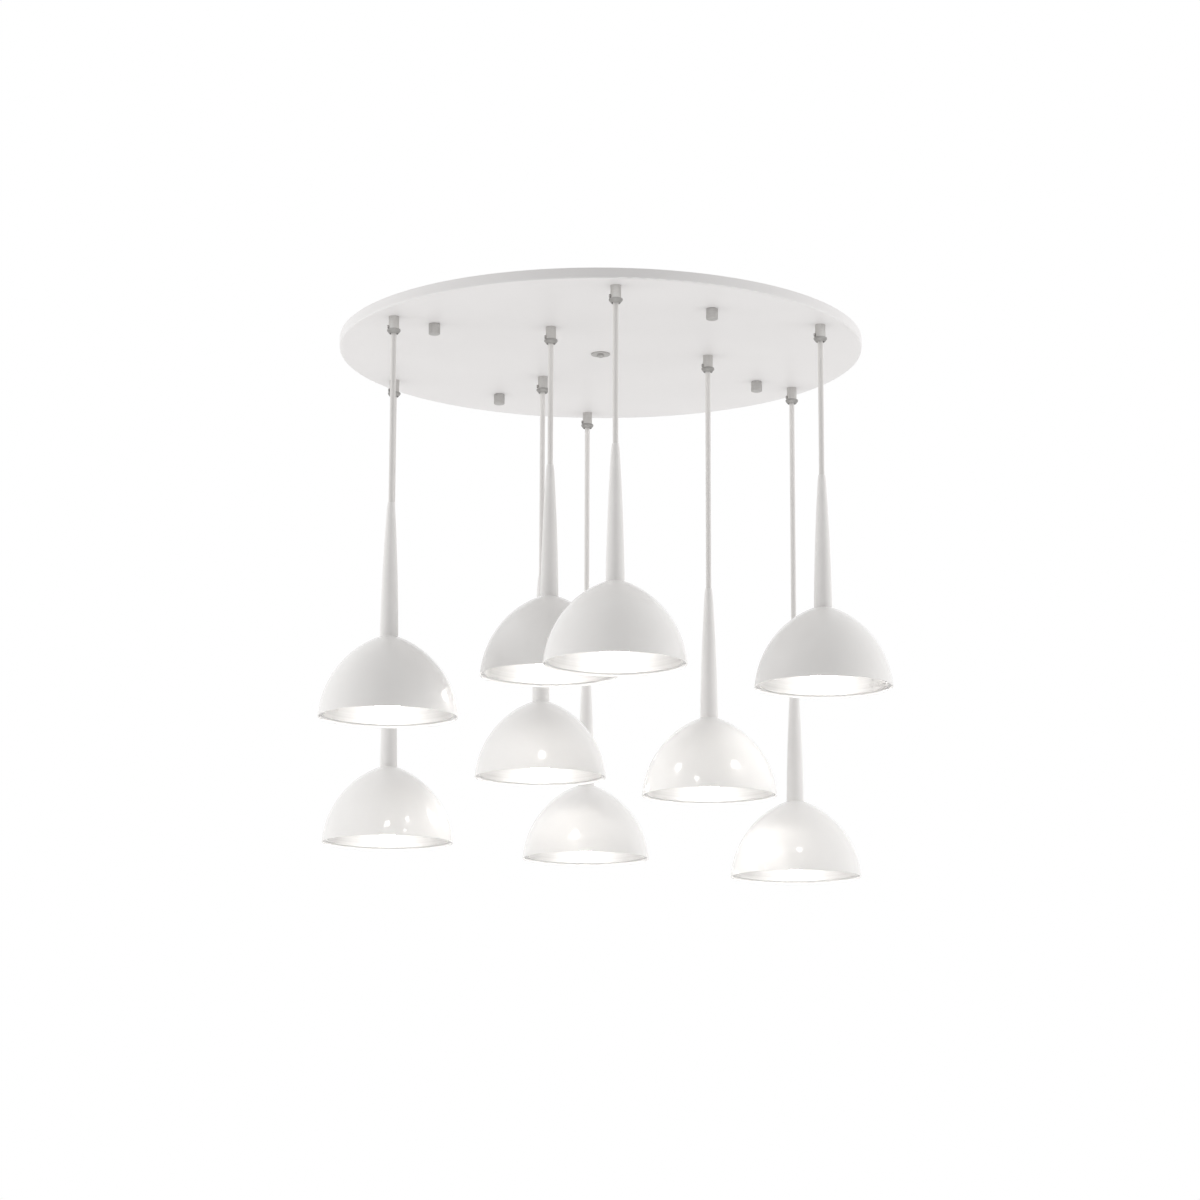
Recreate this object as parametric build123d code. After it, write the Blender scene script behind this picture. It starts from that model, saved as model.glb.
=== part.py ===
from build123d import *
import os
from math import cos, hypot, pi, radians, sin, sqrt

# Cluster pendant: a shallow round canopy under the ceiling carries nine pendants on cables.
# Millimetres. The origin is the middle of the ceiling plane, +Z up, so the whole lamp hangs below z = 0.

# ---------------------------------------------------------------- driving dimensions
# Canopy pan
canopy_diameter = 600.0
canopy_depth = 12.0
canopy_wall = 1.2
canopy_edge_radius = 2.0

# Places on the canopy: two rings of pendants and one ring of fixings, two of them set in from its edge
outer_ring_inset = 26.0
inner_ring_radius = 124.0
fixing_ring_inset = 78.0
outer_first_angle = -90.0
inner_first_angle = -120.0
fixing_first_angle = -150.0
fixing_count = 4

# Drop of each pendant, from the canopy's underside to the shade's rim
outer_drops = [412.0, 410.0, 587.0, 552.0, 552.0, 449.0]
inner_drops = [396.0, 512.0, 478.0]

# Ceiling bracket: a disc with one arm to each fixing stud
bracket_thickness = 2.0
bracket_disc_diameter = 130.0
bracket_arm_width = 30.0
bracket_arm_overhang = 14.0
ceiling_screw_ring_radius = 90.0
ceiling_screw_hole_diameter = 5.5
mains_entry_diameter = 20.0
mains_entry_offset = 38.0
gland_relief_diameter = 22.0
stud_diameter = 5.0
stud_projection = 8.0
bush_diameter = 10.0

# Cap nuts and the middle screw
cap_nut_diameter = 13.0
cap_nut_height = 12.0
cap_nut_chamfer = 0.8
washer_diameter = 22.0
washer_thickness = 1.5
centre_screw_diameter = 4.0
centre_screw_head_diameter = 7.6
centre_screw_head_height = 2.6

# Cable glands
gland_thread_diameter = 10.0
gland_neck_diameter = 11.5
gland_neck_length = 14.5
gland_flange_diameter = 15.0
gland_flange_thickness = 2.0
gland_cone_height = 3.0
gland_tip_diameter = 10.4
gland_mouth_diameter = 9.0
clamp_depth = 11.5
clamp_screw_diameter = 2.6
clamp_screw_head_diameter = 4.0
clamp_screw_head_height = 1.6
lock_nut_across_flats = 14.0
lock_nut_height = 3.0

# Terminal block
terminal_length = 62.0
terminal_width = 18.0
terminal_height = 8.0
terminal_ways = 10
terminal_port_diameter = 3.4
terminal_port_depth = 6.0
terminal_offset = 36.0

# Cable and stem
cable_diameter = 6.0
stem_length = 150.0
stem_top_diameter = 9.2
stem_base_diameter = 20.0
stem_tip_length = 7.0
stem_swell = 0.9
cable_socket_depth = 12.0
wire_bore_diameter = 5.0
spigot_diameter = 10.0

# Shade and reflector
shade_diameter = 152.0
shade_height = 88.0
shade_seat_diameter = 22.0
shade_arc_radius = 102.0
shade_wall = 1.6
shade_rim_radius = 0.6
reflector_wall = 1.0
reflector_seat_diameter = 20.0
reflector_recess = 3.0
reflector_lip_width = 2.4
reflector_side_gap = 0.2

# Lamp holder and lamp
holder_diameter = 27.0
holder_height = 27.5
holder_boss_diameter = 16.0
holder_boss_height = 6.0
holder_web = 3.0
lamp_globe_diameter = 45.0
lamp_body_length = 50.0
lamp_neck_angle = 50.0
lamp_collar_diameter = 19.0
lamp_cap_diameter = 13.8
lamp_cap_length = 24.0
lamp_seat_gap = 0.5

# Fits
hole_clearance = 0.25
thread_clearance = 0.05
cable_clearance = 0.3
lamp_cap_clearance = 0.4

# ---------------------------------------------------------------- derived sizes
underside_z = -canopy_depth
pan_floor_z = underside_z + canopy_wall
outer_ring_radius = canopy_diameter / 2 - outer_ring_inset
fixing_ring_radius = canopy_diameter / 2 - fixing_ring_inset
gland_length = gland_neck_length + gland_flange_thickness + gland_cone_height
gland_thread_length = canopy_wall + lock_nut_height + 1.0
pivot_z = underside_z - clamp_depth
cable_bore_radius = cable_diameter / 2 + cable_clearance
spigot_hole_radius = spigot_diameter / 2 + hole_clearance
pendant_height = shade_height + stem_length
shade_inner_top_z = shade_height - shade_wall
reflector_inner_top_z = shade_inner_top_z - reflector_wall
spigot_length = shade_wall + reflector_wall + holder_web - hole_clearance
holder_bottom_z = reflector_inner_top_z - holder_height
lamp_seat_z = holder_bottom_z - lamp_seat_gap
outer_step = 360.0 / len(outer_drops)
inner_step = 360.0 / len(inner_drops)
fixing_step = 360.0 / fixing_count


def ring_point(radius, angle):
    """A point of a ring about the lamp's axis, as (x, y)."""
    return radius * cos(radians(angle)), radius * sin(radians(angle))


def pendant_places():
    """(x, y, drop) of each pendant: the outer ring first, then the inner one."""
    places = []
    for i, drop in enumerate(outer_drops):
        places.append((*ring_point(outer_ring_radius, outer_first_angle + i * outer_step), drop))
    for i, drop in enumerate(inner_drops):
        places.append((*ring_point(inner_ring_radius, inner_first_angle + i * inner_step), drop))
    return places


def fixing_places():
    """(x, y) of each stud and its cap nut."""
    return [
        ring_point(fixing_ring_radius, fixing_first_angle + i * fixing_step)
        for i in range(fixing_count)
    ]


# ---------------------------------------------------------------- helpers for turned parts
def turned(*edges, rim_radius=0.0):
    """The solid that a closed outline in the (radius, height) plane sweeps about the Z axis.

    The outline's lowest corners are rounded with the rim radius, where one is given."""
    outline = make_face(Wire(edges))
    if rim_radius > 0:
        outline = fillet(outline.vertices().group_by(Axis.Y)[0], rim_radius)
    return revolve(Plane.XZ * outline, Axis.Z, 360)


def path(*points):
    """The straight edges that join the points in order."""
    return [Line(a, b) for a, b in zip(points, points[1:])]


def bowed(start, end, radius):
    """An arc from start to end that bows away from the axis, with the given radius."""
    half = hypot(end[0] - start[0], end[1] - start[1]) / 2
    sagitta = radius - sqrt(radius**2 - half**2)
    along = ((end[0] - start[0]) / (2 * half), (end[1] - start[1]) / (2 * half))
    side = 1 if along[1] > 0 else -1
    middle = (
        (start[0] + end[0]) / 2 + side * along[1] * sagitta,
        (start[1] + end[1]) / 2 - side * along[0] * sagitta,
    )
    return ThreePointArc(start, middle, end)


def drilled(radius, top, bottom):
    """A round cutter on the Z axis between two heights."""
    return Pos(0, 0, (top + bottom) / 2) * Cylinder(radius, top - bottom)


def one_solid(shape):
    """The single solid of a finished piece."""
    solids = shape.solids()
    assert len(solids) == 1, f"expected one solid, got {len(solids)}"
    return solids[0]


# ---------------------------------------------------------------- canopy
def make_canopy():
    """The shallow spun pan, open to the ceiling, with its holes for glands, studs and middle screw."""
    radius = canopy_diameter / 2
    bend = canopy_edge_radius
    inner_bend = bend - canopy_wall / 2
    inner_radius = radius - canopy_wall
    turn = sin(radians(45))
    pan = turned(
        *path((0, pan_floor_z), (0, underside_z), (radius - bend, underside_z)),
        ThreePointArc(
            (radius - bend, underside_z),
            (radius - bend + bend * turn, underside_z + bend - bend * turn),
            (radius, underside_z + bend),
        ),
        *path((radius, underside_z + bend), (radius, 0), (inner_radius, 0)),
        *path((inner_radius, 0), (inner_radius, pan_floor_z + inner_bend)),
        ThreePointArc(
            (inner_radius, pan_floor_z + inner_bend),
            (
                inner_radius - inner_bend + inner_bend * turn,
                pan_floor_z + inner_bend - inner_bend * turn,
            ),
            (inner_radius - inner_bend, pan_floor_z),
        ),
        *path((inner_radius - inner_bend, pan_floor_z), (0, pan_floor_z)),
    )
    gland_hole = drilled(gland_thread_diameter / 2 + hole_clearance, 0, 2 * underside_z)
    stud_hole = drilled(stud_diameter / 2 + hole_clearance, 0, 2 * underside_z)
    pan -= [Pos(x, y, 0) * gland_hole for x, y, _ in pendant_places()]
    pan -= [Pos(x, y, 0) * stud_hole for x, y in fixing_places()]
    pan -= drilled(centre_screw_diameter / 2 + hole_clearance, 0, 2 * underside_z)
    return one_solid(pan)


def make_bracket():
    """The steel cross against the ceiling, with welded studs and a blind threaded bush in the middle."""
    mid_z = -bracket_thickness / 2
    arm_length = fixing_ring_radius + bracket_arm_overhang
    bracket = Pos(0, 0, mid_z) * Cylinder(bracket_disc_diameter / 2, bracket_thickness)
    for i in range(fixing_count):
        arm = Pos(arm_length / 2, 0, mid_z) * Box(arm_length, bracket_arm_width, bracket_thickness)
        arm = fillet(arm.edges().filter_by(Axis.Z).group_by(Axis.X)[-1], bracket_arm_overhang / 2)
        relief = Pos(inner_ring_radius, 0, mid_z) * Cylinder(gland_relief_diameter / 2, canopy_depth)
        screw = Pos(ceiling_screw_ring_radius, 0, mid_z) * Cylinder(
            ceiling_screw_hole_diameter / 2, canopy_depth
        )
        bracket += Rot(0, 0, fixing_first_angle + i * fixing_step) * (arm - relief - screw)
    bracket -= Pos(0, mains_entry_offset, mid_z) * Cylinder(mains_entry_diameter / 2, canopy_depth)
    stud = drilled(stud_diameter / 2, mid_z, underside_z - stud_projection)
    stud = chamfer(stud.edges().group_by(Axis.Z)[0], 0.1 * stud_diameter)
    bracket += [Pos(x, y, 0) * stud for x, y in fixing_places()]
    bush_end_z = pan_floor_z + cable_clearance
    bracket += drilled(bush_diameter / 2, mid_z, bush_end_z)
    thread = drilled(
        centre_screw_diameter / 2 + thread_clearance, -bracket_thickness, underside_z
    )
    return one_solid(bracket - thread)


def make_canopy_fasteners():
    """Four blind cap nuts, and the washer and screw in the middle of the canopy."""
    nut = drilled(cap_nut_diameter / 2, underside_z, underside_z - cap_nut_height)
    nut = chamfer(nut.edges().group_by(Axis.Z)[0], cap_nut_chamfer)
    nut -= drilled(
        stud_diameter / 2 + thread_clearance, underside_z, underside_z - stud_projection - 1.0
    )
    washer_z = underside_z - washer_thickness
    washer = drilled(washer_diameter / 2, underside_z, washer_z)
    washer = chamfer(washer.edges().group_by(Axis.Z)[0], washer_thickness / 3)
    washer -= drilled(centre_screw_diameter / 2 + hole_clearance, 0, 2 * underside_z)
    head = drilled(centre_screw_head_diameter / 2, washer_z, washer_z - centre_screw_head_height)
    head = fillet(head.edges().group_by(Axis.Z)[0], centre_screw_head_height / 3)
    shank_top_z = -bracket_thickness - 1.0
    screw = head + drilled(centre_screw_diameter / 2, shank_top_z, washer_z)
    pieces = [Pos(x, y, 0) * nut for x, y in fixing_places()]
    return Compound([one_solid(piece) for piece in [*pieces, washer, screw]])


def make_gland():
    """One cable gland: thread, neck, flange and cone, with a bore that flares below the clamp screw."""
    thread = gland_thread_diameter / 2
    neck = gland_neck_diameter / 2
    flange = gland_flange_diameter / 2
    flange_top_z = -gland_neck_length
    flange_z = flange_top_z - gland_flange_thickness
    edge = gland_flange_thickness / 4
    gland = turned(
        *path(
            (cable_bore_radius, gland_thread_length),
            (thread - edge, gland_thread_length),
            (thread, gland_thread_length - edge),
            (thread, 0),
            (neck, 0),
            (neck, flange_top_z),
            (flange - edge, flange_top_z),
            (flange, flange_top_z - edge),
            (flange, flange_z),
            (gland_tip_diameter / 2, -gland_length),
            (gland_mouth_diameter / 2, -gland_length),
            (cable_bore_radius, -clamp_depth),
            (cable_bore_radius, gland_thread_length),
        )
    )
    screw_hole = Pos(-neck / 2, 0, -clamp_depth) * Rot(0, 90, 0) * Cylinder(
        clamp_screw_diameter / 2 + thread_clearance, neck
    )
    return one_solid(gland - screw_hole)


def make_gland_fasteners():
    """A hexagonal lock nut above the pan's floor and a clamp screw in the side of each gland."""
    nut = extrude(
        RegularPolygon(lock_nut_across_flats / 2, 6, major_radius=False), lock_nut_height
    )
    nut -= drilled(gland_thread_diameter / 2 + thread_clearance, 2 * lock_nut_height, -1.0)
    nut = Pos(0, 0, canopy_wall) * nut
    neck = gland_neck_diameter / 2
    shank_length = neck - cable_bore_radius
    shank = Cylinder(clamp_screw_diameter / 2, shank_length)
    head = Cylinder(clamp_screw_head_diameter / 2, clamp_screw_head_height)
    head = fillet(head.edges().group_by(Axis.Z)[-1], clamp_screw_head_height / 3)
    screw = Pos(0, 0, cable_bore_radius + shank_length / 2) * shank
    screw += Pos(0, 0, neck + clamp_screw_head_height / 2) * head
    screw = Pos(0, 0, -clamp_depth) * Rot(0, -90, 0) * screw
    solids = []
    for x, y, _ in pendant_places():
        place = Pos(x, y, underside_z)
        solids.append(one_solid(place * nut))
        solids.append(one_solid(place * screw))
    return Compound(solids)


def make_terminal_block():
    """The low terminal block under the bracket's disc, with a row of wire ports on each long side."""
    block = Box(terminal_length, terminal_width, terminal_height)
    block = fillet(block.edges().filter_by(Axis.Z), 1.5)
    pitch = terminal_length / terminal_ways
    port = Rot(90, 0, 0) * Cylinder(terminal_port_diameter / 2, terminal_port_depth)
    reach = (terminal_width - terminal_port_depth) / 2
    for i in range(terminal_ways):
        x = (i + 0.5) * pitch - terminal_length / 2
        block -= [Pos(x, side * reach, 0) * port for side in (-1, 1)]
    z = -bracket_thickness - terminal_height / 2
    return one_solid(Pos(0, -terminal_offset, z) * block)


# ---------------------------------------------------------------- pendant, with z = 0 at the shade's rim
def cable_end_height():
    """Height of the cable's lower end above the shade's rim, just inside the stem's socket."""
    return pendant_height - cable_socket_depth + cable_clearance


def cable_run(drop):
    """Straight length of a taut cable from its clamp in the gland to its end in the stem."""
    return drop - clamp_depth - cable_end_height()


def make_cable(drop):
    """A taut cable with a round upper end, centred where the gland's screw clamps it."""
    radius = cable_diameter / 2
    end_z = -cable_run(drop)
    turn = sin(radians(45))
    return one_solid(
        turned(
            ThreePointArc((0, radius), (radius * turn, radius * turn), (radius, 0)),
            *path((radius, 0), (radius, end_z), (0, end_z), (0, radius)),
        )
    )


def make_stem():
    """The tapered stem: cable socket at the top, wire bore, and a hollow threaded spigot below."""
    base_z = shade_height
    top_z = pendant_height
    tip = cable_bore_radius + 0.4
    shoulder = (stem_top_diameter / 2, top_z - stem_tip_length)
    base = (stem_base_diameter / 2, base_z)
    length = shoulder[1] - base_z
    middle = ((shoulder[0] + base[0]) / 2 + stem_swell, base_z + length / 2)
    wire = wire_bore_diameter / 2
    spigot = spigot_diameter / 2
    socket_z = top_z - cable_socket_depth
    spigot_z = base_z - spigot_length
    return one_solid(
        turned(
            *path((cable_bore_radius, top_z), (tip, top_z), shoulder),
            ThreePointArc(shoulder, middle, base),
            *path(
                base,
                (spigot, base_z),
                (spigot, spigot_z),
                (wire, spigot_z),
                (wire, socket_z),
                (cable_bore_radius, socket_z),
                (cable_bore_radius, top_z),
            ),
        )
    )


def make_shade():
    """The glossy dome: one bowed wall that rises from the rim to a small flat seat for the stem."""
    rim = shade_diameter / 2
    seat = shade_seat_diameter / 2
    inner_rim = rim - shade_wall
    inner_seat = seat - shade_wall / 2
    return one_solid(
        turned(
            bowed((rim, 0), (seat, shade_height), shade_arc_radius),
            *path(
                (seat, shade_height),
                (spigot_hole_radius, shade_height),
                (spigot_hole_radius, shade_inner_top_z),
                (inner_seat, shade_inner_top_z),
            ),
            bowed((inner_seat, shade_inner_top_z), (inner_rim, 0), shade_arc_radius - shade_wall),
            *path((inner_rim, 0), (rim, 0)),
            rim_radius=min(shade_rim_radius, 0.45 * shade_wall),
        )
    )


def shade_inner_radius(z):
    """Radius of the shade's inner wall at a height above the rim."""
    low = (shade_diameter / 2 - shade_wall, 0.0)
    high = (shade_seat_diameter / 2 - shade_wall / 2, shade_inner_top_z)
    radius = shade_arc_radius - shade_wall
    half = hypot(high[0] - low[0], high[1] - low[1]) / 2
    reach = sqrt(radius**2 - half**2)
    along = ((high[0] - low[0]) / (2 * half), (high[1] - low[1]) / (2 * half))
    centre = (
        (low[0] + high[0]) / 2 - along[1] * reach,
        (low[1] + high[1]) / 2 + along[0] * reach,
    )
    return centre[0] + sqrt(radius**2 - (z - centre[1]) ** 2)


def make_reflector():
    """The spun reflector: a thin bowl under the shade's seat, with a lip that meets the shade's wall."""
    low_z = reflector_recess
    lip_top_z = low_z + reflector_wall
    lip = shade_inner_radius(low_z) - reflector_side_gap
    outer_foot = (lip - reflector_lip_width, lip_top_z)
    inner_foot = (outer_foot[0] - reflector_wall, low_z)
    outer_seat = (reflector_seat_diameter / 2, shade_inner_top_z)
    inner_seat = (outer_seat[0] - reflector_wall / 2, reflector_inner_top_z)
    return one_solid(
        turned(
            *path(inner_foot, (lip, low_z), (lip, lip_top_z), outer_foot),
            bowed(outer_foot, outer_seat, shade_arc_radius),
            *path(
                outer_seat,
                (spigot_hole_radius, shade_inner_top_z),
                (spigot_hole_radius, reflector_inner_top_z),
                inner_seat,
            ),
            bowed(inner_seat, inner_foot, shade_arc_radius),
        )
    )


def make_lamp_holder():
    """The lamp holder, screwed on the stem's spigot so that it clamps the reflector and the shade."""
    body = holder_diameter / 2
    boss = holder_boss_diameter / 2
    bore = lamp_cap_diameter / 2 + lamp_cap_clearance
    neck = spigot_diameter / 2 + thread_clearance
    top_z = reflector_inner_top_z
    body_top_z = top_z - holder_boss_height
    edge = 1.2
    return one_solid(
        turned(
            *path(
                (neck, top_z),
                (boss, top_z),
                (boss, body_top_z),
                (body - edge, body_top_z),
                (body, body_top_z - edge),
                (body, holder_bottom_z + edge),
                (body - edge, holder_bottom_z),
                (bore, holder_bottom_z),
                (bore, top_z - holder_web),
                (neck, top_z - holder_web),
                (neck, top_z),
            )
        )
    )


def make_lamp():
    """The round opal lamp: globe, tapering neck and screw cap with its contact."""
    globe = lamp_globe_diameter / 2
    centre_z = lamp_seat_z - lamp_body_length + globe
    turn = radians(lamp_neck_angle)
    leave = (globe * cos(turn), centre_z + globe * sin(turn))
    low = (turn - pi / 2) / 2
    collar = lamp_collar_diameter / 2
    cap = lamp_cap_diameter / 2
    cap_z = lamp_seat_z + lamp_cap_length
    tip = 0.45 * cap
    return one_solid(
        turned(
            ThreePointArc(
                (0, centre_z - globe),
                (globe * cos(low), centre_z + globe * sin(low)),
                leave,
            ),
            *path(
                leave,
                (collar, lamp_seat_z),
                (cap, lamp_seat_z),
                (cap, cap_z - tip),
                (tip, cap_z),
                (0, cap_z),
                (0, centre_z - globe),
            ),
        )
    )


# ---------------------------------------------------------------- nodes
def make_nodes():
    """Every node of the lamp by name, each in its place."""
    gland = make_gland()
    nodes = {
        "canopy_plate": make_canopy(),
        "ceiling_bracket": make_bracket(),
        "canopy_fasteners": make_canopy_fasteners(),
        "cable_glands": Compound(
            [one_solid(Pos(x, y, underside_z) * gland) for x, y, _ in pendant_places()]
        ),
        "gland_fasteners": make_gland_fasteners(),
        "terminal_block": make_terminal_block(),
    }
    pendant = {
        "stem": make_stem(),
        "shade": make_shade(),
        "reflector": make_reflector(),
        "lamp_holder": make_lamp_holder(),
        "lamp": make_lamp(),
    }
    for number, (x, y, drop) in enumerate(pendant_places(), 1):
        nodes[f"cable_{number}"] = Pos(x, y, pivot_z) * make_cable(drop)
        for name, piece in pendant.items():
            nodes[f"{name}_{number}"] = Pos(x, y, underside_z - drop) * piece
    return nodes


def main():
    os.makedirs("parts", exist_ok=True)
    for name, piece in make_nodes().items():
        export_step(piece, f"parts/{name}.step")
    for number, (x, y, drop) in enumerate(pendant_places(), 1):
        print(f"cable_{number}: straight, {cable_run(drop):.1f} mm, at ({x:.1f}, {y:.1f})")


main()
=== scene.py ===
# %% [markdown]
# # A cluster of nine glossy domes under one ceiling canopy
# The solids of the lamp come from its engineering model: a round canopy, nine cable glands, nine
# cables, and nine pendants of stem, dome, reflector, holder and lamp. Blender adds the finishes,
# finer screws, nuts, holders and cables, and the light. Everything is in metres and sits where the
# solids are: the ceiling is z = 0 and the lamp hangs below it.

# %% Load the lamp's solids
import math

import bmesh
import bpy
from mathutils import Matrix, Vector


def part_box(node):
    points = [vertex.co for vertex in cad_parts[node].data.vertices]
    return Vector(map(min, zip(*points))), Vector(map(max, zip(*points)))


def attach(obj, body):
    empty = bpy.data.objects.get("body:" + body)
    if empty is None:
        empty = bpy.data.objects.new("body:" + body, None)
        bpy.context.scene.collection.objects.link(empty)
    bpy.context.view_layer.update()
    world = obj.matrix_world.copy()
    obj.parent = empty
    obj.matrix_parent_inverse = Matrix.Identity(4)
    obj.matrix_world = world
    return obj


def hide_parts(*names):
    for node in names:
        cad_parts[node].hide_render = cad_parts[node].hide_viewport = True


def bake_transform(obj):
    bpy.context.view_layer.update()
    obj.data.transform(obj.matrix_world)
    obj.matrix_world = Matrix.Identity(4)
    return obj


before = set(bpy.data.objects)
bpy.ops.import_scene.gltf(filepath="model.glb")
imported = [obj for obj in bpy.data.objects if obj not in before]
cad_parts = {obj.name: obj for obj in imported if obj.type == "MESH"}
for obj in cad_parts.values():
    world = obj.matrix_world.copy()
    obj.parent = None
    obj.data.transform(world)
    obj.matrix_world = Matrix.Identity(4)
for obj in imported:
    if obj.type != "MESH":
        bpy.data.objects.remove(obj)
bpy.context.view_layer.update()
scene = bpy.context.scene

# %% [markdown]
# Each pendant hangs on its own vertical line. The middle of a dome's box gives that line, and the
# bottom of the box gives the height of its rim, so no place is typed twice.

# %% Find the nine pendants
pendants = range(1, 10)


def rim_centre(number):
    """The middle of a dome's rim at rest."""
    low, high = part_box(f"shade_{number}")
    return Vector(((low.x + high.x) / 2, (low.y + high.y) / 2, low.z))


rims = {number: rim_centre(number) for number in pendants}
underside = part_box("canopy_plate")[0].z
print("rim heights:", [round(rims[number].z, 3) for number in pendants])

# %% [markdown]
# ## The camera
# A long lens far away gives the flat perspective of a catalogue picture. The camera stands about
# 3.7 m from the lamp and 1 m below the ceiling, and looks a little up, so the underside of the
# canopy shows as a narrow ellipse and each dome shows a sliver of its inside.

# %% Set up the camera
camera_place = Vector((-0.2155, -3.6742, -1.0306))
turn_right = math.radians(3.36)
tilt_up = math.radians(11.21)
roll_left = math.radians(0.18)

camera_data = bpy.data.cameras.new("catalogue_camera")
camera_data.lens = 99.15
camera_data.sensor_width = 36.0
camera = bpy.data.objects.new("catalogue_camera", camera_data)
camera.matrix_world = (
    Matrix.Translation(camera_place)
    @ Matrix.Rotation(-turn_right, 4, "Z")
    @ Matrix.Rotation(math.pi / 2 + tilt_up, 4, "X")
    @ Matrix.Rotation(roll_left, 4, "Z")
)
scene.collection.objects.link(camera)
scene.camera = camera
scene.view_settings.view_transform = "Standard"
print("camera lens:", camera_data.lens, "mm")

# %% [markdown]
# ## Wiring shader nodes
# Every finish below is a small network of nodes. Three helpers keep those networks readable: one
# sets a node's sockets, either to a value or to another node's output, one adds a node with its
# sockets set, and one starts a material and hands back its main shader.


# %% Helpers for node networks
def set_sockets(tree, node, sockets):
    """Sets a node's sockets, each to a plain value or to another node's output."""
    for name, value in sockets.items():
        if isinstance(value, bpy.types.NodeSocket):
            tree.links.new(value, node.inputs[name])
        else:
            node.inputs[name].default_value = value


def add_node(tree, kind, sockets=None, **settings):
    """A new shader node with its settings made and its sockets set."""
    made = tree.nodes.new("ShaderNode" + kind)
    for name, value in settings.items():
        setattr(made, name, value)
    set_sockets(tree, made, sockets or {})
    return made


def start_finish(name):
    """A new material, its node tree and its Principled shader."""
    material = bpy.data.materials.new(name)
    material.use_nodes = True
    tree = material.node_tree
    tree.nodes.clear()
    shader = add_node(tree, "BsdfPrincipled")
    add_node(tree, "OutputMaterial", {"Surface": shader.outputs["BSDF"]})
    return material, tree, shader


print("node helpers ready")

# %% [markdown]
# Real surfaces are never one flat colour. Slow noise drifts the colour by a few percent, as paint
# and polish do, and fine noise drives a bump so that highlights break up at the scale of the real
# texture. Object coordinates are the lamp's own metres, so a scale of 700 means marks of about a
# millimetre and a half. Noise seldom leaves the middle of its range, so the ramp between two
# colours starts and ends inside it, and both colours are reached.

# %% Helpers for drift, spread and grain
ramp_start = 0.3
ramp_end = 0.7


def object_place(tree, centre=(0.0, 0.0, 0.0), squeeze=(1.0, 1.0, 1.0)):
    """Places on the piece in metres, measured from a centre and stretched where asked."""
    coordinates = add_node(tree, "TexCoord").outputs["Object"]
    moved = add_node(
        tree, "VectorMath", {0: coordinates, 1: tuple(centre)}, operation="SUBTRACT"
    ).outputs["Vector"]
    return add_node(
        tree, "VectorMath", {0: moved, 1: squeeze}, operation="MULTIPLY"
    ).outputs["Vector"]


def height_of(tree, place):
    """The height of a place."""
    return add_node(tree, "SeparateXYZ", {"Vector": place}).outputs["Z"]


def noise_value(tree, place, scale, detail=2.0):
    """Smooth noise from 0 to 1 over the given places."""
    return add_node(
        tree, "TexNoise", {"Vector": place, "Scale": scale, "Detail": detail}
    ).outputs["Fac"]


def spread(tree, value, low, high, start=0.0, end=1.0):
    """A value that runs from start to end, spread between two limits."""
    sockets = {
        "Value": value,
        "From Min": start,
        "From Max": end,
        "To Min": low,
        "To Max": high,
    }
    return add_node(tree, "MapRange", sockets).outputs["Result"]


def colour_between(tree, value, first, second):
    """A colour that runs from the first to the second with the value."""
    ramp = add_node(tree, "ValToRGB", {"Fac": value})
    ramp.color_ramp.elements[0].color = (*first, 1.0)
    ramp.color_ramp.elements[0].position = ramp_start
    ramp.color_ramp.elements[1].color = (*second, 1.0)
    ramp.color_ramp.elements[1].position = ramp_end
    return ramp.outputs["Color"]


def bumped(tree, relief, depth):
    """A normal that follows a relief of the given depth."""
    sockets = {"Height": relief, "Distance": depth, "Strength": 1.0}
    return add_node(tree, "Bump", sockets).outputs["Normal"]


print("surface helpers ready")

# %% [markdown]
# ## The finishes
# The canopy is steel with a satin white coat. Such a coat isn't quite flat: its orange peel is
# about 1.6 mm wide and a fiftieth of a millimetre deep, which a bump shows better than real waves
# in the mesh would.


# %% Canopy coat
def satin_coat(name, first, second, roughness):
    """A sprayed satin coat with fine orange peel."""
    material, tree, shader = start_finish(name)
    place = object_place(tree)
    drift = noise_value(tree, place, scale=9.0)
    peel = noise_value(tree, place, scale=620.0)
    sockets = {
        "Base Color": colour_between(tree, drift, first, second),
        "Roughness": spread(tree, drift, roughness - 0.04, roughness + 0.04),
        "Normal": bumped(tree, peel, depth=0.00002),
    }
    set_sockets(tree, shader, sockets)
    return material


canopy_coat = satin_coat(
    "canopy_coat", (0.785, 0.775, 0.775), (0.805, 0.795, 0.795), roughness=0.40
)
print("made", canopy_coat.name)

# %% [markdown]
# Turned nickel shows fine rings round its own axis. Each gland has a different axis, so the rings
# come from height instead: noise that is stretched sideways reads as turning marks on every neck
# and flange. Below the foot of each neck, the flange and its cone face down into shadow, and that
# shade is painted: a share of the colour is taken away below that height, over a short blur. The
# same function, without the painted shade, makes the nickel of the screws and nuts.


# %% Satin nickel
def paint_shade_below(tree, colour, level, share, blur):
    """The colour above a height, and a darker share of it below: painted shade."""
    height = height_of(tree, object_place(tree))
    shade = spread(tree, height, share, 1.0, level - blur, level + blur)
    return add_node(
        tree, "VectorMath", {0: colour, "Scale": shade}, operation="SCALE"
    ).outputs["Vector"]


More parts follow.
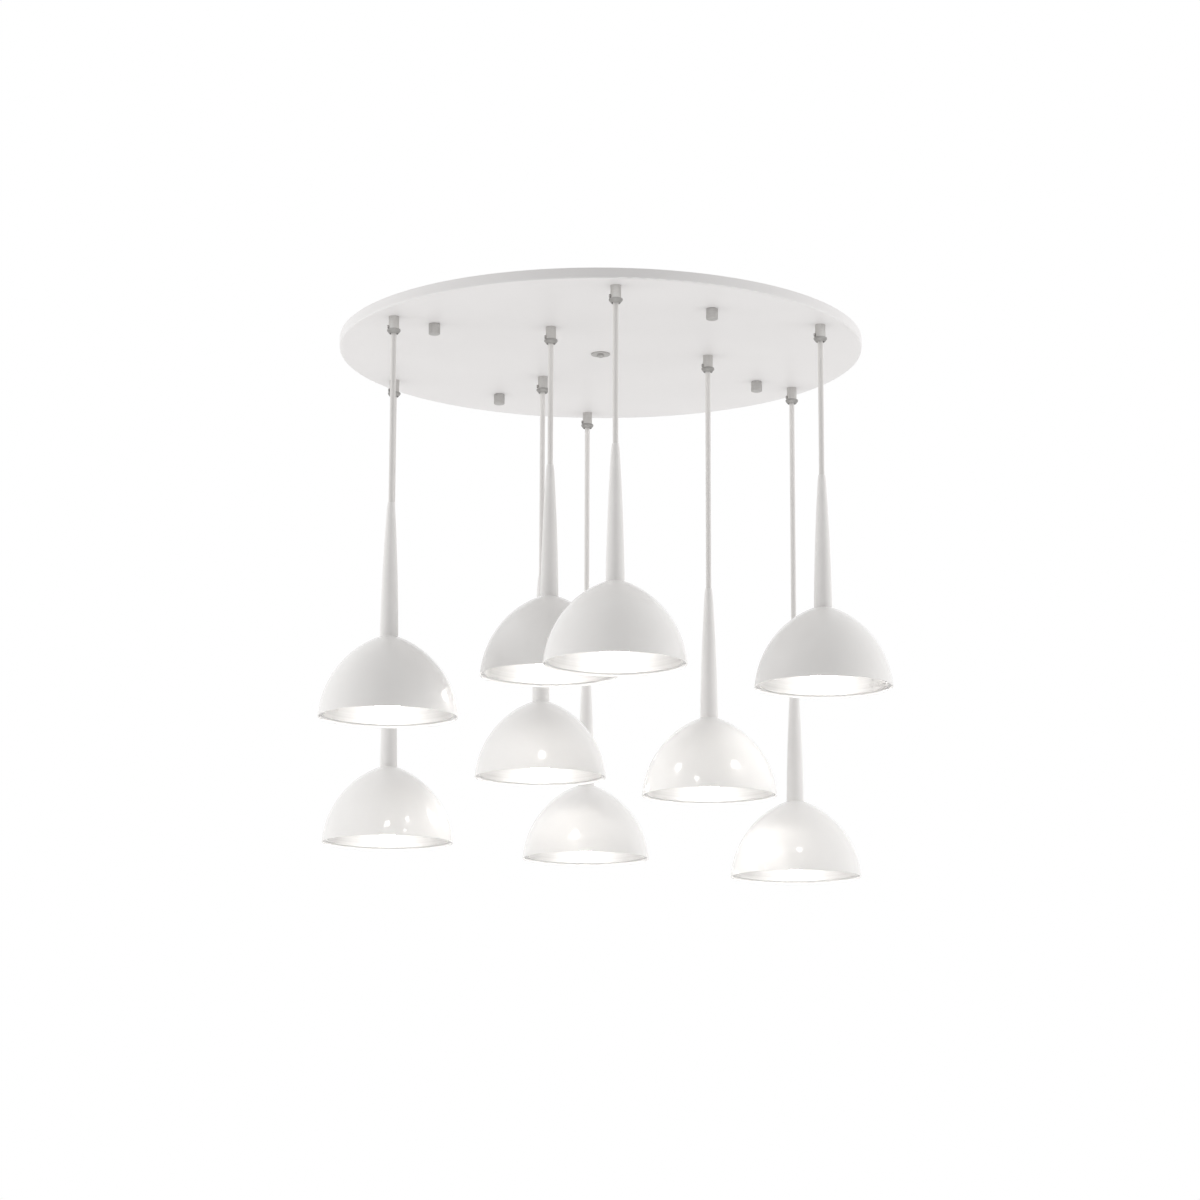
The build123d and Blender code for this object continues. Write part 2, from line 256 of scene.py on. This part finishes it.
def turned_nickel(name, first, second, roughness, painted_shade_below=None):
    """Satin nickel with fine turning marks along the height, and painted shade below a height if
    one is given.
    """
    material, tree, shader = start_finish(name)
    place = object_place(tree, squeeze=(0.06, 0.06, 1.0))
    marks = noise_value(tree, place, scale=5000.0, detail=3.0)
    colour = colour_between(tree, marks, first, second)
    # Painted shade: below the given height the colour is darkened, as the shadow under the neck
    # darkens it.
    if painted_shade_below is not None:
        colour = paint_shade_below(tree, colour, painted_shade_below, share=0.65, blur=0.0004)
    sockets = {
        "Base Color": colour,
        "Metallic": 1.0,
        "Roughness": spread(tree, marks, roughness - 0.10, roughness + 0.10),
        "Normal": bumped(tree, marks, depth=0.00002),
    }
    set_sockets(tree, shader, sockets)
    return material


# Painted shade starts at the foot of each gland's neck, because the flange and cone below it face
# down into shadow.
neck_foot = underside - 0.0142
gland_nickel = turned_nickel(
    "gland_nickel",
    (0.56, 0.55, 0.535),
    (0.65, 0.64, 0.625),
    roughness=0.42,
    painted_shade_below=neck_foot,
)
fastener_nickel = turned_nickel(
    "fastener_nickel", (0.46, 0.45, 0.44), (0.55, 0.54, 0.53), roughness=0.40
)
print("made", gland_nickel.name, "and", fastener_nickel.name)

# %% [markdown]
# The bracket above the canopy is zinc plated. Zinc sets in crystals, and each cell of a Voronoi
# pattern stands for one: its random colour gives the crystal its own tone and its own polish.


# %% Zinc plate
def zinc_plate(name):
    """Bright zinc plate with its faint crystal patches."""
    material, tree, shader = start_finish(name)
    place = object_place(tree)
    patches = add_node(
        tree, "TexVoronoi", {"Vector": place, "Scale": 150.0}, feature="F1"
    ).outputs["Color"]
    patch = add_node(tree, "SeparateColor", {"Color": patches}).outputs["Red"]
    grain = noise_value(tree, place, scale=1500.0)
    sockets = {
        "Base Color": colour_between(tree, patch, (0.60, 0.61, 0.61), (0.67, 0.68, 0.68)),
        "Metallic": 1.0,
        "Roughness": spread(tree, patch, 0.30, 0.42),
        "Normal": bumped(tree, grain, depth=0.00001),
    }
    set_sockets(tree, shader, sockets)
    return material


bracket_zinc = zinc_plate("bracket_zinc")
print("made", bracket_zinc.name)

# %% [markdown]
# The stem is a matte moulding that shows almost no highlight, and the cable is a pale smooth
# sheath. One function makes both, and the holders' and the terminal block's plastic too: a slow
# drift of colour, and a fine even grain as a spark-finished mould leaves it.


# %% Matte mouldings
def matte_moulding(name, first, second, roughness, grain_scale, grain_depth):
    """A moulded plastic with a fine even grain."""
    material, tree, shader = start_finish(name)
    place = object_place(tree)
    drift = noise_value(tree, place, scale=25.0)
    grain = noise_value(tree, place, scale=grain_scale, detail=1.0)
    sockets = {
        "Base Color": colour_between(tree, drift, first, second),
        "Roughness": spread(tree, grain, roughness - 0.06, roughness + 0.06),
        "Normal": bumped(tree, grain, depth=grain_depth),
    }
    set_sockets(tree, shader, sockets)
    return material


stem_moulding = matte_moulding(
    "stem_moulding",
    (0.83, 0.82, 0.81),
    (0.85, 0.84, 0.83),
    roughness=0.62,
    grain_scale=1800.0,
    grain_depth=0.00004,
)
cable_sheath = matte_moulding(
    "cable_sheath",
    (0.75, 0.735, 0.72),
    (0.765, 0.75, 0.735),
    roughness=0.50,
    grain_scale=1400.0,
    grain_depth=0.00001,
)
holder_moulding = matte_moulding(
    "holder_moulding",
    (0.80, 0.79, 0.77),
    (0.84, 0.83, 0.81),
    roughness=0.38,
    grain_scale=1600.0,
    grain_depth=0.00001,
)
terminal_moulding = matte_moulding(
    "terminal_moulding",
    (0.74, 0.73, 0.69),
    (0.78, 0.77, 0.73),
    roughness=0.45,
    grain_scale=1500.0,
    grain_depth=0.00002,
)
for finish in (stem_moulding, cable_sheath, holder_moulding, terminal_moulding):
    print("made", finish.name)

# %% [markdown]
# The dome is sprayed with white lacquer and a clear coat. The coat is a mirror of the lit lamps
# around it, and only a slow, shallow waviness bends their small highlights.


# %% Dome lacquer
def gloss_lacquer(name):
    """White lacquer under a clear coat."""
    material, tree, shader = start_finish(name)
    place = object_place(tree)
    drift = noise_value(tree, place, scale=14.0)
    wave = noise_value(tree, place, scale=90.0)
    white = colour_between(tree, drift, (0.835, 0.825, 0.815), (0.855, 0.845, 0.835))
    sockets = {
        "Base Color": white,
        "Roughness": spread(tree, drift, 0.50, 0.58),
        "Specular IOR Level": 0.25,
        "Coat Weight": 1.0,
        "Coat Roughness": 0.03,
        "Normal": bumped(tree, wave, depth=0.00002),
    }
    set_sockets(tree, shader, sockets)
    return material


dome_lacquer = gloss_lacquer("dome_lacquer")
print("made", dome_lacquer.name)

# %% [markdown]
# The reflector is spun aluminium. Its tool marks are circles round the pendant's own line, so
# each pendant has its own copy of the finish, centred on that line.


# %% Spun reflector
def spun_aluminium(number):
    """Satin aluminium with spinning marks round one pendant's line."""
    material, tree, shader = start_finish(f"spun_aluminium_{number}")
    place = object_place(tree, rims[number], (1.0, 1.0, 0.0))
    length = add_node(tree, "VectorMath", {0: place}, operation="LENGTH")
    radius = length.outputs["Value"]
    rings = add_node(
        tree, "TexNoise", {"W": radius, "Scale": 2600.0}, noise_dimensions="1D"
    ).outputs["Fac"]
    sockets = {
        "Base Color": colour_between(tree, rings, (0.62, 0.615, 0.61), (0.67, 0.665, 0.66)),
        "Metallic": 1.0,
        "Roughness": spread(tree, rings, 0.46, 0.54),
        "Normal": bumped(tree, rings, depth=0.000006),
    }
    set_sockets(tree, shader, sockets)
    return material


reflector_metal = {number: spun_aluminium(number) for number in pendants}
print("made", len(reflector_metal), "reflector finishes")

# %% [markdown]
# The lamp's globe is opal and lit; its neck is plain white plastic. They are one solid, so the
# height above the globe's lowest point tells them apart, and the glow fades out between the two.

# %% Lit lamp
lamp_glow = 11.5
full_glow_below = 0.030
no_glow_above = 0.044


def lit_opal(number):
    """Opal plastic that glows below the lamp's neck."""
    material, tree, shader = start_finish(f"lit_opal_{number}")
    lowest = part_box(f"lamp_{number}")[0].z
    place = object_place(tree, (0.0, 0.0, lowest))
    height = height_of(tree, place)
    cloud = noise_value(tree, place, scale=300.0)
    sockets = {
        "Base Color": colour_between(tree, cloud, (0.86, 0.85, 0.82), (0.9, 0.89, 0.86)),
        "Roughness": 0.35,
        "Emission Color": (1.0, 0.98, 0.955, 1.0),
        "Emission Strength": spread(
            tree, height, lamp_glow, 0.0, full_glow_below, no_glow_above
        ),
    }
    set_sockets(tree, shader, sockets)
    return material


lamp_opal = {number: lit_opal(number) for number in pendants}
print("made", len(lamp_opal), "lamp finishes")

# %% [markdown]
# The solids that stay keep their shape and take a finish each. Cables, holders, nuts and screws are
# left out here, because finer pieces replace them below.

# %% Dress the solids
finish_of = {
    "canopy_plate": canopy_coat,
    "ceiling_bracket": bracket_zinc,
    "cable_glands": gland_nickel,
    "terminal_block": terminal_moulding,
}
for number in pendants:
    finish_of[f"stem_{number}"] = stem_moulding
    finish_of[f"shade_{number}"] = dome_lacquer
    finish_of[f"reflector_{number}"] = reflector_metal[number]
    finish_of[f"lamp_{number}"] = lamp_opal[number]

for node, finish in finish_of.items():
    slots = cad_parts[node].data.materials
    slots.clear()
    slots.append(finish)
print("dressed", len(finish_of), "solids")

# %% [markdown]
# ## The small turned and milled pieces
# Nuts, screws and holders are stacks of rings round one axis, each ring with a reach and a height.
# Where a ring isn't round, its reach is a function of the angle: a hexagon for a nut, a cross for
# a screw's recess, and shallow flutes for a holder's grip.


# %% Rings that aren't round
def hexagon(across_flats):
    """The reach of a hexagon at each angle."""

    def reach(angle):
        return across_flats / 2 / math.cos(angle % (math.pi / 3) - math.pi / 6)

    return reach


def cross(half_width, arm):
    """The reach at each angle of a cross with square ends, its arms along X and Y."""

    def reach(angle):
        off = abs((angle + math.pi / 4) % (math.pi / 2) - math.pi / 4)
        return min(arm / math.cos(off), half_width / max(math.sin(off), 0.001))

    return reach


def fluted(radius, depth, count):
    """The reach of a round grip with shallow flutes at each angle."""

    def reach(angle):
        return radius - depth * (0.5 + 0.5 * math.cos(count * angle))

    return reach


lock_nut_flats = 0.0139
lock_nut_corners = 2 * hexagon(lock_nut_flats)(0.0)
print("lock nut:", lock_nut_flats, "across flats,", round(lock_nut_corners, 4), "across corners")

# %% [markdown]
# One circle is extruded from ring to ring. A screw or a cap nut is closed by a face at both ends. A
# piece with a bore comes back to its first ring, up the inside, and is sewn together there. Each
# new ring keeps the angles of the one before, so the vertices stay in line and no face twists, as
# faces do when separate circles are bridged.


# %% Helpers for stacks of rings
def set_ring(vertices, reach, height):
    """Moves a ring's vertices to its reach and height, each along its own angle."""
    for vertex in vertices:
        angle = math.atan2(vertex.co.y, vertex.co.x)
        radius = reach(angle) if callable(reach) else reach
        vertex.co = (radius * math.cos(angle), radius * math.sin(angle), height)


def grown_ring(shape, ring):
    """Extrudes a ring of edges where it is; the new ring's edges and its vertices."""
    grown = bmesh.ops.extrude_edge_only(shape, edges=ring)["geom"]
    edges = [part for part in grown if isinstance(part, bmesh.types.BMEdge)]
    vertices = [part for part in grown if isinstance(part, bmesh.types.BMVert)]
    return edges, vertices


def stacked(rings, segments, bored):
    """A closed shape of rings, each (reach, height); a bored one ends where it starts."""
    shape = bmesh.new()
    bmesh.ops.create_circle(shape, radius=1.0, segments=segments)
    set_ring(shape.verts, *rings[0])
    ring = shape.edges[:]
    if not bored:
        bmesh.ops.edgeloop_fill(shape, edges=ring)
    for reach, height in rings[1:] + (rings[:1] if bored else []):
        ring, moved = grown_ring(shape, ring)
        set_ring(moved, reach, height)
    if bored:
        bmesh.ops.remove_doubles(shape, verts=shape.verts, dist=0.000001)
    else:
        bmesh.ops.edgeloop_fill(shape, edges=ring)
    bmesh.ops.recalc_face_normals(shape, faces=shape.faces)
    return shape


print("ring helpers ready")

# %% [markdown]
# A finished shape becomes a mesh, and its place goes into the mesh, as in the solids. The piece
# then rides on a body of the lamp and takes its finish in a material slot, and the solid it
# stands for is hidden.


# %% Helpers that turn a shape into a piece
def new_piece(name, shape, finish, sharp_degrees):
    """A shape in one finish, smooth except where its faces meet at a sharper angle."""
    mesh = bpy.data.meshes.new(name)
    shape.to_mesh(mesh)
    shape.free()
    mesh.shade_smooth()
    mesh.set_sharp_from_angle(angle=math.radians(sharp_degrees))
    mesh.materials.append(finish)
    piece = bpy.data.objects.new(name, mesh)
    scene.collection.objects.link(piece)
    return piece


def add_piece(name, shape, place, finish, body, node):
    """Puts a shape at its place, as a piece that rides on a body and stands for a solid."""
    bmesh.ops.transform(shape, matrix=place, verts=shape.verts)
    piece = new_piece(name, shape, finish, sharp_degrees=32)
    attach(piece, body)
    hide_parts(node)


def add_fastener(name, shape, place, node):
    """Puts a nickel screw, nut or washer at its place on the canopy."""
    add_piece(name, shape, place, fastener_nickel, "canopy", node)


print("piece helpers ready")

# %% [markdown]
# Four plain cap nuts hold the canopy up. They stand on a circle, a quarter turn apart. The widest
# of them reaches as far as their box, and that gives the circle, so the finer nuts stand where the
# solids are.

# %% Cap nuts
first_nut_angle = math.radians(-150)
cap_nut_radius = 0.0065
cap_nut_rings = [
    (0.0028, 0.0),
    (0.0061, 0.0),
    (cap_nut_radius, -0.0004),
    (cap_nut_radius, -0.0112),
    (0.0062, -0.0117),
    (0.0057, -0.0120),
    (0.0030, -0.0120),
    (0.0012, -0.0120),
]
widest_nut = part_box("canopy_fasteners")[1].x - cap_nut_radius
nut_circle = widest_nut / abs(math.cos(first_nut_angle))
for number in range(4):
    angle = first_nut_angle + number * math.pi / 2
    place = Matrix.Translation(
        (nut_circle * math.cos(angle), nut_circle * math.sin(angle), underside)
    )
    cap_nut = stacked(cap_nut_rings, segments=40, bored=False)
    add_fastener(f"cap_nut_{number + 1}", cap_nut, place, "canopy_fasteners")
print("four cap nuts on a circle of radius", round(nut_circle, 4))

# %% [markdown]
# In the middle of the canopy a chamfered washer lies under the head of a small screw. The screw's
# cross recess is two more rings: one cross in the head's face, and a smaller one deeper in.

# %% Washer and middle screw
washer_rings = [
    (0.00225, 0.0),
    (0.0110, 0.0),
    (0.0110, -0.0010),
    (0.0105, -0.0015),
    (0.0040, -0.0015),
    (0.00225, -0.0015),
]
middle_screw_rings = [
    (0.0018, 0.0),
    (0.0020, -0.0015),
    (0.0038, -0.0015),
    (0.0038, -0.0030),
    (0.0035, -0.0036),
    (0.0030, -0.0040),
    (cross(0.00045, 0.0022), -0.0041),
    (cross(0.00040, 0.0018), -0.0028),
    (0.0003, -0.0025),
]
centre = Matrix.Translation((0.0, 0.0, underside))
washer = stacked(washer_rings, segments=56, bored=True)
add_fastener("centre_washer", washer, centre, "canopy_fasteners")
middle_screw = stacked(middle_screw_rings, segments=96, bored=False)
add_fastener("centre_screw", middle_screw, centre, "canopy_fasteners")
print("a washer and a screw in the middle")

# %% [markdown]
# Each gland has a hexagonal lock nut, which stands on the canopy's wall inside, and a socket screw
# that goes into its side and clamps the upper end of the cable. The screw's rings are stacked
# upwards and the stack is then laid over, with its head to the left.

# %% Lock nuts and clamp screws
canopy_wall = 0.0012
clamp_height = underside - 0.0115
head_to_left = Matrix.Rotation(-math.pi / 2, 4, "Y")
lock_nut_rings = [
    (0.0054, 0.0),
    (0.0068, 0.0),
    (hexagon(lock_nut_flats), 0.0004),
    (hexagon(lock_nut_flats), 0.0026),
    (0.0068, 0.0030),
    (0.0054, 0.0030),
    (0.00505, 0.0027),
    (0.00505, 0.0003),
]
clamp_screw_rings = [
    (0.0012, 0.0035),
    (0.0013, 0.0056),
    (0.0019, 0.0058),
    (0.0020, 0.0059),
    (0.0020, 0.0069),
    (0.0018, 0.00725),
    (0.0014, 0.00735),
    (hexagon(0.0016), 0.00735),
    (hexagon(0.0015), 0.0064),
    (0.0003, 0.0063),
]
for number in pendants:
    x, y = rims[number].xy
    lock_nut = stacked(lock_nut_rings, segments=48, bored=True)
    place = Matrix.Translation((x, y, underside + canopy_wall))
    add_fastener(f"lock_nut_{number}", lock_nut, place, "gland_fasteners")
    clamp_screw = stacked(clamp_screw_rings, segments=24, bored=False)
    place = Matrix.Translation((x, y, clamp_height)) @ head_to_left
    add_fastener(f"clamp_screw_{number}", clamp_screw, place, "gland_fasteners")
print("nine lock nuts and nine clamp screws")

# %% [markdown]
# The holders have a fluted grip, so that they can be screwed up against the reflector by hand. The
# thread at the top goes over the stem's spigot, and the wide bore below it takes the lamp's neck.


# %% Fluted lamp holders
def holder_rings(tall):
    """The rings of a lamp holder, from its top down the outside and up its bore."""
    thread = 0.00505
    bore = 0.0073
    grip = fluted(radius=0.0134, depth=0.0005, count=24)
    return [
        (thread, tall),
        (0.0078, tall),
        (0.0080, tall - 0.0003),
        (0.0080, tall - 0.0060),
        (0.0122, tall - 0.0060),
        (0.0130, tall - 0.0068),
        (grip, tall - 0.0078),
        (grip, 0.0050),
        (0.0130, 0.0040),
        (0.0135, 0.0036),
        (0.0135, 0.0010),
        (0.0126, 0.0),
        (bore, 0.0),
        (bore, tall - 0.0030),
        (thread, tall - 0.0030),
    ]


for number in pendants:
    low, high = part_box(f"lamp_holder_{number}")
    holder = stacked(holder_rings(high.z - low.z), segments=96, bored=True)
    add_piece(
        f"fluted_holder_{number}",
        holder,
        Matrix.Translation((rims[number].x, rims[number].y, low.z)),
        holder_moulding,
        f"pendant_{number}",
        f"lamp_holder_{number}",
    )
print("nine fluted holders")

# %% [markdown]
# ## The cables
# A taut cable is straight, so its route is a straight spline from the clamp in the gland down to
# the socket in the stem, with one more point six diameters from each end. Blender turns the spline
# into a line of points, which the sheath then follows.

# %% Cable routes
cable_diameter = 0.006


def cable_route(number):
    """Points along a cable's spline, from its clamp to its end in the stem."""
    low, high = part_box(f"cable_{number}")
    top = Vector((rims[number].x, rims[number].y, high.z - cable_diameter / 2))
    end = Vector((top.x, top.y, low.z))
    lead = Vector((0.0, 0.0, 6 * cable_diameter))
    curve = bpy.data.curves.new(f"route_{number}", "CURVE")
    curve.dimensions = "3D"
    spline = curve.splines.new("NURBS")
    spline.points.add(3)
    for point, place in zip(spline.points, (top, top - lead, end + lead, end)):
        point.co = (*place, 1.0)
    spline.order_u = 3
    spline.use_endpoint_u = True
    spline.resolution_u = 16
    carrier = bpy.data.objects.new(curve.name, curve)
    line = bpy.data.meshes.new_from_object(carrier)
    points = [vertex.co.copy() for vertex in line.vertices]
    bpy.data.objects.remove(carrier)
    bpy.data.meshes.remove(line)
    return points


routes = {number: cable_route(number) for number in pendants}
print("points on each route:", len(routes[1]))

# %% [markdown]
# The sheath is a ring of edges that is extruded from point to point and closed at both ends.


# %% Cables
def make_cable(number):
    """The round sheath of one cable along its route."""
    route = routes[number]
    shape = bmesh.new()
    bmesh.ops.create_circle(shape, radius=cable_diameter / 2, segments=24)
    bmesh.ops.translate(shape, vec=route[0], verts=shape.verts)
    ring = shape.edges[:]
    bmesh.ops.edgeloop_fill(shape, edges=ring)
    for here, there in zip(route, route[1:]):
        ring, moved = grown_ring(shape, ring)
        bmesh.ops.translate(shape, vec=there - here, verts=moved)
    bmesh.ops.edgeloop_fill(shape, edges=ring)
    bmesh.ops.recalc_face_normals(shape, faces=shape.faces)
    return new_piece(f"cable_sheath_{number}", shape, cable_sheath, sharp_degrees=40)


for number in pendants:
    cable = make_cable(number)
    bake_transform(cable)
    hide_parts(f"cable_{number}")

# %% [markdown]
# ## Light and background
# The picture's light comes from a white studio all round the lamp. It is weak on the camera's side,
# so the domes are darkest in the middle of their fronts and pale at both sides. A world can do that
# with no hard shadows: its strength has a share for each direction, and the shares multiply.

# %% Light that leans
light_level = 1.32
left_share = 0.92
right_share = 1.08
front_share = 0.08
back_share = 0.50


def leaning_strength(tree):
    """The world's strength in each direction: full at the sides, less behind, weak in front."""
    direction = add_node(
        tree, "SeparateXYZ", {"Vector": add_node(tree, "TexCoord").outputs["Generated"]}
    )
    strength = light_level
    for axis, start, end, low, high in (
        ("X", -1.0, 1.0, left_share, right_share),
        ("Y", -1.0, 0.0, front_share, 1.0),
        ("Y", 0.0, 1.0, 1.0, back_share),
    ):
        share = spread(tree, direction.outputs[axis], low, high, start, end)
        strength = add_node(
            tree, "Math", {0: share, 1: strength}, operation="MULTIPLY"
        ).outputs["Value"]
    return strength


print("light level", light_level, "of which the front keeps", front_share)

# %% [markdown]
# To the eye the same world is plain white, and so it is in a mirror. Light Path tells a ray that
# looks from one that lights: a camera, transmission or glossy ray sees white, and any other ray
# meets the leaning light.


# %% A world that is white to see
def is_looking(tree):
    """One for a camera, transmission or glossy ray, and zero for any other."""
    rays = add_node(tree, "LightPath")
    looking = rays.outputs["Is Camera Ray"]
    for kind in ("Is Transmission Ray", "Is Glossy Ray"):
        looking = add_node(
            tree, "Math", {0: looking, 1: rays.outputs[kind]}, operation="MAXIMUM"
        ).outputs["Value"]
    return looking


def make_world():
    """A white surround for the eye and for mirrors, and a leaning one for light."""
    world = bpy.data.worlds.new("white_studio")
    world.use_nodes = True
    tree = world.node_tree
    tree.nodes.clear()
    lighting = add_node(
        tree,
        "Background",
        {"Color": (1.0, 0.99, 0.98, 1.0), "Strength": leaning_strength(tree)},
    ).outputs["Background"]
    white = add_node(
        tree, "Background", {"Color": (1.0, 1.0, 1.0, 1.0), "Strength": 1.0}
    ).outputs["Background"]
    chosen = add_node(tree, "MixShader", {0: is_looking(tree), 1: lighting, 2: white})
    add_node(tree, "OutputWorld", {"Surface": chosen.outputs["Shader"]})
    return world


scene.world = make_world()
print("made", scene.world.name)

# %% [markdown]
# The floor is a plain pale sheet. It lies deeper than a room's, so that a camera which looks up at
# the lamp from below still has clear sight of it.

# %% Floor
floor_height = -4.4
floor_reach = 60.0


def make_floor():
    """A pale matte floor under the lamp."""
    material = bpy.data.materials.new("pale_floor")
    material.use_nodes = True
    tree = material.node_tree
    tree.nodes.clear()
    paint = add_node(tree, "BsdfDiffuse", {"Color": (0.9, 0.9, 0.9, 1.0)})
    add_node(tree, "OutputMaterial", {"Surface": paint.outputs["BSDF"]})
    shape = bmesh.new()
    bmesh.ops.create_grid(shape, x_segments=1, y_segments=1, size=floor_reach)
    bmesh.ops.translate(shape, vec=(0.0, 0.0, floor_height), verts=shape.verts)
    mesh = bpy.data.meshes.new("floor")
    shape.to_mesh(mesh)
    shape.free()
    mesh.materials.append(material)
    floor = bpy.data.objects.new("floor", mesh)
    scene.collection.objects.link(floor)
    return floor


made_floor = make_floor()
print(made_floor.name, "at", floor_height)

# %% [markdown]
# A wide soft box below the lamp lights the canopy's underside, and a small one at each side grazes
# it, so the glands throw long faint shadows to left and right. The side boxes are kept out of
# reflections, where the domes would show them as hard bright panels. The box below is hidden from
# the camera, so it isn't in the way of a view from underneath.


# %% Soft boxes
def soft_box(name, place, aim, size, power):
    """A rectangular studio light at a place, turned to an aim."""
    data = bpy.data.lights.new(name, "AREA")
    data.shape = "RECTANGLE"
    data.size, data.size_y = size
    data.energy = power
    light = bpy.data.objects.new(name, data)
    direction = Vector(aim) - Vector(place)
    light.location = place
    light.rotation_mode = "QUATERNION"
    light.rotation_quaternion = direction.to_track_quat("-Z", "Y")
    scene.collection.objects.link(light)
    return light


side_distance = 2.4
side_forward = -0.2
side_height = -0.36
side_size = (0.4, 0.6)
side_aim = (0.0, 0.0, -0.3)
for name, side, power in (("left_box", -1.0, 11.5), ("right_box", 1.0, 9.5)):
    side_place = (side * side_distance, side_forward, side_height)
    side_box = soft_box(name, side_place, side_aim, side_size, power)
    side_box.visible_glossy = False

floor_box_place = (0.0, 0.0, -2.3)
floor_box_size = (2.4, 2.4)
almost_straight_up = (0.0, 0.001, 0.0)
floor_box = soft_box(
    "floor_box", floor_box_place, almost_straight_up, floor_box_size, power=11.5
)
floor_box.visible_camera = False
print("two side boxes and a floor box")

# %% Finish
print("scene built")
